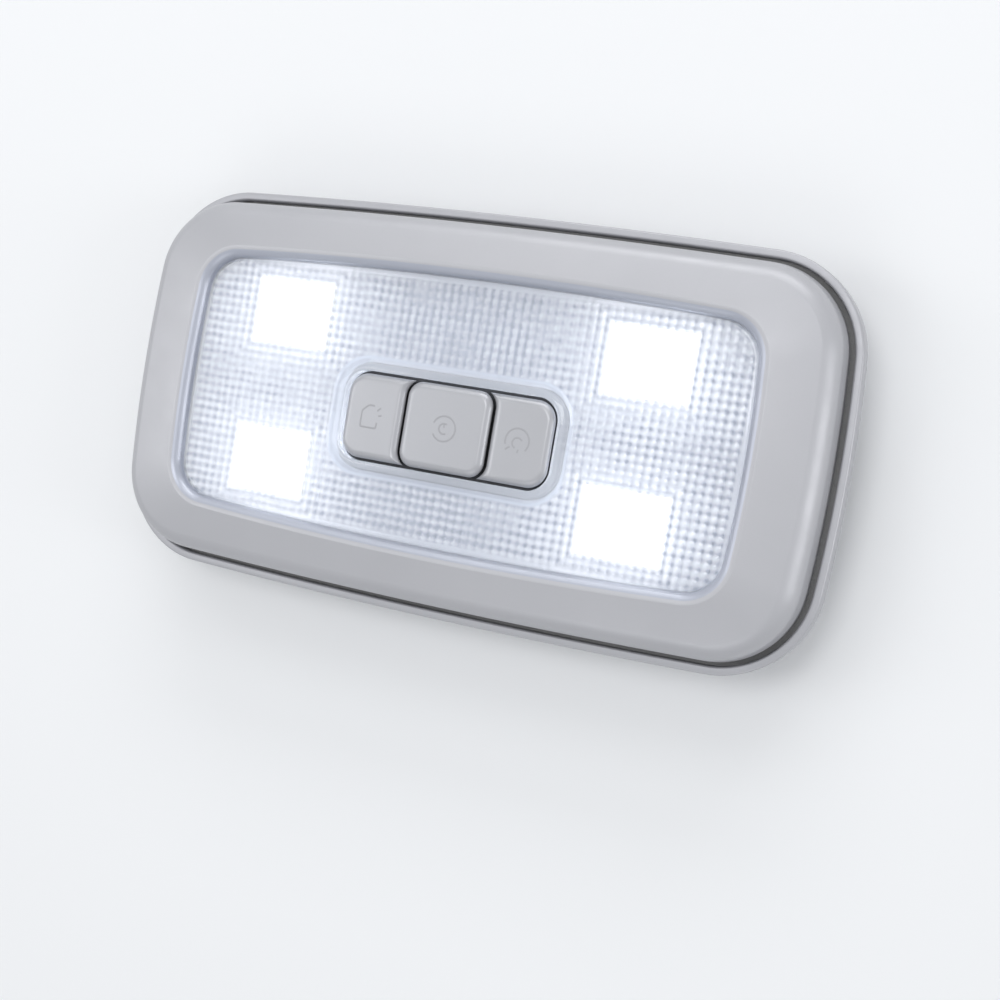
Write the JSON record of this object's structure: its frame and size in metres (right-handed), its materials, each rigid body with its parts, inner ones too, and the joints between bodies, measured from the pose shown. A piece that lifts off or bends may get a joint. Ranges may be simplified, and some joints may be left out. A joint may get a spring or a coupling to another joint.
{
  "type": "car dome light",
  "caption": "Car dome light with a clear ribbed lens in a bowed silver frame, light panels behind it, push buttons in its middle and a screw-on rear housing.",
  "frame": {"origin": "middle of the flat back of the rear housing", "axes": "+Z out of the lighted face, +X along the light towards its socket, -Y towards the side the buttons are shifted to"},
  "size_m": [0.18, 0.0954, 0.028],
  "materials": {
    "housing_plastic": "moulded silver-grey, fine matte grain",
    "foam": "black closed-cell foam",
    "silver_frame": "satin silver-grey paint",
    "clear_lens": "clear with a faint blue tint, ribbed",
    "white_reflector": "white, smooth",
    "board": "white solder mask",
    "light_panel": "white, lit",
    "black_plastic": "black, matte",
    "silver_button": "satin silver-grey paint with tone-on-tone marks",
    "switch_case": "dark grey, matte",
    "plunger_plastic": "orange-red, matte",
    "white_plastic": "natural white nylon",
    "pin_metal": "tin-plated",
    "screw_steel": "zinc-plated",
    "chip_ceramic": "black with bright ends",
    "chip_black": "black moulding compound",
    "can_metal": "brushed can with a dark sleeve"
  },
  "bodies": {
    "light": {"housing": "housing_plastic", "seal": "foam", "bezel": "silver_frame", "lens": "clear_lens", "reflector": "white_reflector", "circuit_board": "board", "light_panel_1": "light_panel", "light_panel_2": "light_panel", "light_panel_3": "light_panel", "light_panel_4": "light_panel", "switch_frame": "black_plastic", "switch_left": "switch_case", "switch_middle": "switch_case", "switch_right": "switch_case", "connector": "white_plastic", "connector_pins": "pin_metal", "board_screws": "screw_steel", "resistors": "chip_ceramic", "driver_chip": "chip_black", "capacitor": "can_metal"},
    "left_button": {"button_left": "silver_button", "plunger_left": "plunger_plastic"},
    "middle_button": {"button_middle": "silver_button", "plunger_middle": "plunger_plastic"},
    "right_button": {"button_right": "silver_button", "plunger_right": "plunger_plastic"}
  },
  "joints": [
    {"name": "left_press", "type": "slide", "parent": "light", "child": "left_button", "axis": [0, 0, -1], "range_m": [0, 0.001], "stiffness_N_per_m": 800, "springref_m": -0.0015},
    {"name": "middle_press", "type": "slide", "parent": "light", "child": "middle_button", "axis": [0, 0, -1], "range_m": [0, 0.001], "stiffness_N_per_m": 800, "springref_m": -0.0015},
    {"name": "right_press", "type": "slide", "parent": "light", "child": "right_button", "axis": [0, 0, -1], "range_m": [0, 0.001], "stiffness_N_per_m": 800, "springref_m": -0.0015}
  ]
}
